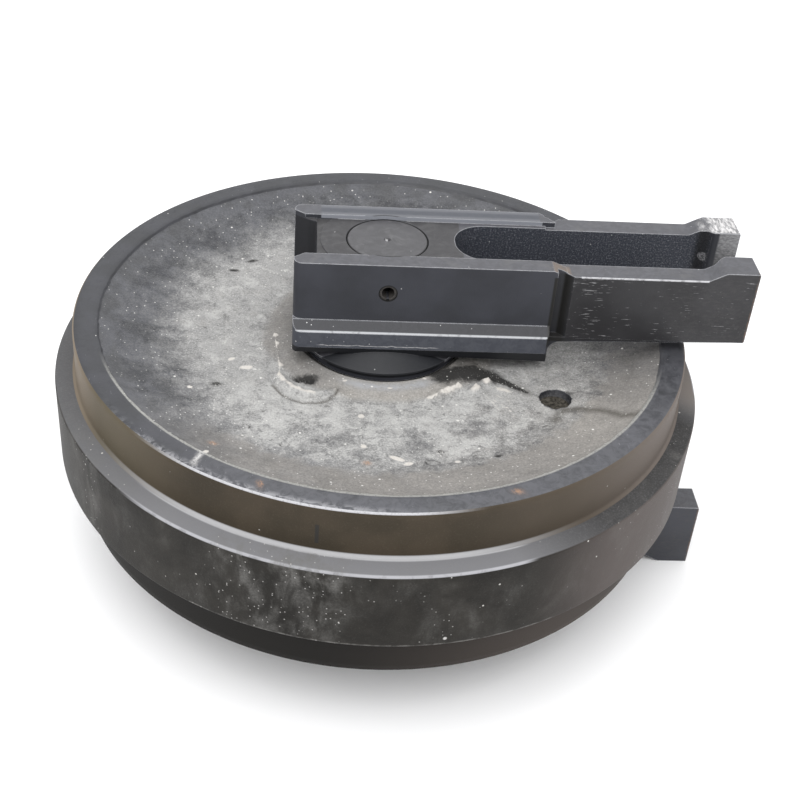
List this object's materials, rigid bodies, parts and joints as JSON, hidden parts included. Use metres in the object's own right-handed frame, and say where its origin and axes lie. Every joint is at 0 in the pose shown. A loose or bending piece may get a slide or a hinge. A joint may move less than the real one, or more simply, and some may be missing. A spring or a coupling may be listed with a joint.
{
  "type": "front idler",
  "caption": "Front idler of a crawler: a dished guide wheel with a centre flange on a fixed shaft, carried by forked bearing blocks with sliding guides.",
  "frame": {"origin": "centre of the wheel, on the shaft's axis at the wheel's mid-plane", "axes": "+Z along the shaft towards the block that faces up in the picture, +X along both arms towards the recoil spring, +Y completes the right-handed frame; in the machine Z is level and across the track"},
  "size_m": [0.659, 0.6292, 0.362],
  "materials": {
    "wheel_casting": "as cast webs with turned rim, dusty",
    "block_forging": "dark primer on cast steel, machined guide faces",
    "shaft_steel": "turned, dark",
    "plug_steel": "dull",
    "copper_washer": "satin",
    "bronze_bushing": "turned",
    "seal_steel": "lapped",
    "seal_rubber": "matt",
    "pin_steel": "blackened"
  },
  "bodies": {
    "carrier": {"shaft": "shaft_steel", "upper_bearing_block": "block_forging", "upper_lock_pin": "pin_steel", "upper_fixed_seal_ring": "seal_steel", "upper_fixed_toric": "seal_rubber", "upper_o_ring": "seal_rubber", "lower_bearing_block": "block_forging", "lower_lock_pin": "pin_steel", "lower_fixed_seal_ring": "seal_steel", "lower_fixed_toric": "seal_rubber", "lower_o_ring": "seal_rubber", "oil_plug": "plug_steel", "oil_plug_washer": "copper_washer"},
    "wheel": {"idler_wheel": "wheel_casting", "upper_bushing": "bronze_bushing", "upper_rotating_seal_ring": "seal_steel", "upper_rotating_toric": "seal_rubber", "upper_core_plug": "plug_steel", "lower_bushing": "bronze_bushing", "lower_rotating_seal_ring": "seal_steel", "lower_rotating_toric": "seal_rubber", "lower_core_plug": "plug_steel"}
  },
  "joints": [
    {"name": "wheel_spin", "type": "hinge", "parent": "carrier", "child": "wheel", "pos_m": [0, 0, 0], "axis": [0, 0, 1], "continuous": true}
  ]
}
